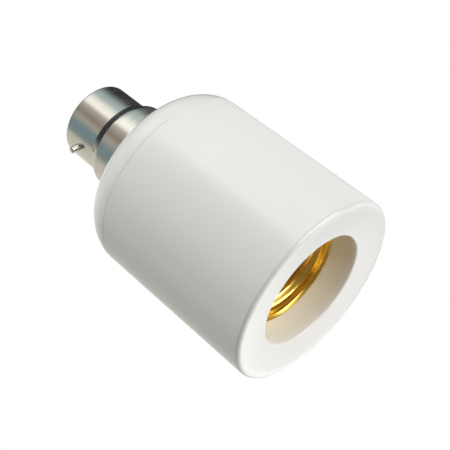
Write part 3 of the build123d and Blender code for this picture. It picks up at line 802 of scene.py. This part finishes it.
# %% [markdown]
# ## Parts kept from the CAD
#
# The socket's base, the circuit board and what stands on it are out of sight in the closed holder, or
# nearly so. Their CAD shapes are right as they are, and each gets its own finish.

# %% Finishes on CAD nodes
KEPT = {
    "socket_base": "base_plastic",
    "leaf_rivet": "rivet_brass",
    "circuit_board": "board_laminate",
    "base_screws": "screw_steel",
    "board_screws": "screw_steel",
    "relay": "relay_plastic",
    "film_capacitor": "film_plastic",
    "electrolytic_capacitor": "can_sleeve",
    "rectifier_diodes": "diode_plastic",
    "zener_diode": "diode_glass",
    "fuse_resistor": "fuse_coating",
    "resistors": "resistor_coating",
    "transistor": "diode_plastic",
    "receiver_board": "board_laminate",
    "decoder_chip": "diode_plastic",
    "aerial_wire": "aerial_sleeve",
    "live_lead": "live_sleeve",
    "neutral_lead": "neutral_sleeve",
}
for name, key in KEPT.items():
    for place in nodes[name].material_slots:
        place.material = FINISH[key]
print("CAD nodes kept:", len(KEPT))

# %% [markdown]
# ## The floor
#
# The floor is under the mouth, and the photograph's camera looks up from below it, so it must not hide
# the object: it is white paper seen from above, and clear from below and to every other ray. Near the
# object half of what it shows is a white glow, and further off all of it, so it fades into the white
# round it. The other half keeps the object's shadow.

# %% Floor paper
floor_paper, tree, shader = new_material("floor_paint")
paper_tone = drifting(tree, grain(tree, 40, 3.0), (0.80, 0.80, 0.795), (0.82, 0.82, 0.815))
tree.links.new(paper_tone, shader.inputs["Base Color"])
shader.inputs["Roughness"].default_value = 0.8
where = add_node(tree, "TexCoord").outputs["Object"]
from_holder = add_node(tree, "VectorMath", p_operation="LENGTH", i0=where).outputs["Value"]
glow_share = smooth_step(tree, from_holder, 0.1, 0.7, 0.5, 1)
white_glow = add_node(tree, "Emission", Color=(1, 1, 1, 1), Strength=1.0)
paper = add_node(tree, "MixShader", i0=glow_share, i1=shader.outputs[0], i2=white_glow.outputs[0])
is_camera_ray = add_node(tree, "LightPath").outputs["Is Camera Ray"]
from_below = add_node(tree, "NewGeometry").outputs["Backfacing"]
from_above = add_node(tree, "Math", p_operation="SUBTRACT", p_use_clamp=True, i0=is_camera_ray, i1=from_below)
clear = add_node(tree, "BsdfTransparent")
choice = add_node(tree, "MixShader", i0=from_above.outputs[0], i1=clear.outputs[0], i2=paper.outputs[0])
tree.links.new(choice.outputs[0], tree.nodes["Material Output"].inputs["Surface"])
floor_paper.cycles.emission_sampling = "NONE"
print("floor paper nodes:", len(tree.nodes))

# %% [markdown]
# ## The sheet of paper
#
# The sheet itself is one square under the mouth, 0.3 mm below the flat ring of the face. The gap is too
# small to see and keeps the two surfaces apart, since two surfaces in one place flicker in a render.

# %% Floor
FLOOR_HALF = 1.5
FLOOR_Z = -0.0003
floor_corners = [(x * FLOOR_HALF, y * FLOOR_HALF, FLOOR_Z) for x, y in ((-1, -1), (1, -1), (1, 1), (-1, 1))]
floor_data = bpy.data.meshes.new("floor")
floor_data.from_pydata(floor_corners, [], [(0, 1, 2, 3)])
floor_data.materials.append(floor_paper)
floor = bpy.data.objects.new("floor", floor_data)
bpy.context.scene.collection.objects.link(floor)
print("the floor is", 2 * FLOOR_HALF, "m wide")

# %% [markdown]
# ## What the metal mirrors
#
# Polished metal has no look of its own. It shows what stands round it: in a studio, white screens with
# dark gaps between them. So cards of soft grey stand in a sphere round the holder, seen only in
# reflections. The barrel mirrors one belt of heights, and that belt carries a list of cards. Below it the
# cards are plain grey, and warm further down, for the brass, which looks out through the mouth.

# %% Cards round the holder
# Azimuth in degrees and colour of each card, at the height that the barrel mirrors.
CARDS = [
    (0, (0.03, 0.03, 0.03)),
    (40, (0.05, 0.05, 0.05)),
    (70, (0.8, 0.78, 0.7)),
    (150, (0.68, 0.66, 0.56)),
    (166, (0.26, 0.33, 0.33)),
    (194, (0.22, 0.32, 0.35)),
    (212, (0.5, 0.46, 0.4)),
    (230, (0.33, 0.27, 0.23)),
    (252, (0.55, 0.52, 0.45)),
    (263, (1.35, 1.32, 1.22)),
    (280, (1.1, 1.1, 1.04)),
    (296, (0.5, 0.6, 0.58)),
    (314, (0.36, 0.47, 0.46)),
    (330, (0.12, 0.14, 0.15)),
    (344, (0.03, 0.03, 0.03)),
    (360, (0.03, 0.03, 0.03)),
]
CEILING = np.array([0.04, 0.04, 0.045])
GREY_CARD = np.array([0.3, 0.3, 0.285])
WARM_TABLE = np.array([0.26, 0.18, 0.1])
COLUMNS = 181
ROWS = 90
azimuth = np.linspace(0, 360, COLUMNS)[None]
elevation = np.linspace(-89, 89, ROWS)[:, None]
stops = [card[0] for card in CARDS]
belt = np.stack([np.interp(azimuth[0], stops, [card[1][k] for card in CARDS]) for k in range(3)], -1)[None]


def ramp(x, start, width):
    """0 up to start, then up to 1 over width. A negative width makes 1 before and 0 after."""
    return np.clip((x - start) / width, 0, 1)


def mixed(first, second, share):
    """A colour between two, for each point of the sphere."""
    share = share[..., None]
    return first * (1 - share) + second * share


print("cards:", len(CARDS))

# %% [markdown]
# ## Two soft boxes and a dark place
#
# A glossy white wall mirrors a soft box as a pale band. One stands at the right, with a sharp left edge,
# and gets weaker further round: its edge is the line where the body's long highlight starts. It ends at
# 36 degrees, about where the cap's reflections begin in the photograph's view, so it is bright in the
# body and not in the cap. A second, low one brightens the face. Where the camera stands it is dark.

# %% Soft boxes and the ring's colours
near_camera = np.clip(1.6 - np.hypot((azimuth - 235) / 50, (elevation + 35) / 32), 0, 1)
below = mixed(GREY_CARD, WARM_TABLE, ramp(elevation, -18, -12))
below = mixed(below, 0.03, near_camera)
colour = mixed(belt, CEILING, ramp(elevation, 58, 14))
colour = mixed(colour, below, ramp(elevation, 8, -16))
past_edge = (azimuth - 262) % 360
side_box = ramp(past_edge, 0, 5) * ramp(past_edge, 145, -15) * (1.4 - 0.7 * ramp(past_edge, 0, 110))
side_box = side_box * ramp(elevation, 4, 10) * ramp(elevation, 36, -4)
low_box = ramp(azimuth, 52, 9) * ramp(azimuth, 110, -30) * ramp(elevation, -2, -8)
low_box = 1.4 * low_box * ramp(elevation, -62, 18)
colour = colour + (side_box + low_box)[..., None]
print("the brightest card is", round(float(colour.max()), 2))

# %% [markdown]
# ## The ring
#
# The cards are painted on a sphere as a colour at each point, because the pattern is worked out as an
# array anyway, and the material then only has to read it. The sphere is hidden from the camera, casts no
# shadow and lights nothing that isn't glossy.

# %% Paper ring
RING_R = 0.9
a = np.radians(azimuth)
e = np.radians(elevation)
ring_points = RING_R * np.stack([np.cos(e) * np.cos(a), np.cos(e) * np.sin(a), np.sin(e) + 0 * a], -1)
first_corner = (np.arange(ROWS - 1)[:, None] * COLUMNS + np.arange(COLUMNS - 1)[None]).reshape(-1, 1)
ring_quads = first_corner + np.array([0, 1, COLUMNS + 1, COLUMNS])
ring_data = bpy.data.meshes.new("paper_ring")
ring_data.from_pydata((ring_points.reshape(-1, 3) + BODY_MIDDLE).tolist(), [], ring_quads.tolist())
with_alpha = np.concatenate([colour, np.ones_like(colour[..., :1])], -1)
bands = ring_data.color_attributes.new("bands", "FLOAT_COLOR", "POINT")
bands.data.foreach_set("color", with_alpha.astype(np.float32).ravel())
ring_paper, tree, shader = new_material("paper_ring")
card_colour = add_node(tree, "VertexColor", p_layer_name="bands").outputs["Color"]
card_glow = add_node(tree, "Emission", Color=card_colour, Strength=1.0)
tree.links.new(card_glow.outputs[0], tree.nodes["Material Output"].inputs["Surface"])
ring_paper.cycles.emission_sampling = "NONE"
ring_data.materials.append(ring_paper)
ring = bpy.data.objects.new("paper_ring", ring_data)
bpy.context.scene.collection.objects.link(ring)
ring.visible_camera = ring.visible_diffuse = ring.visible_shadow = False
ring.visible_transmission = ring.visible_volume_scatter = False
print("ring points:", len(ring_data.vertices))
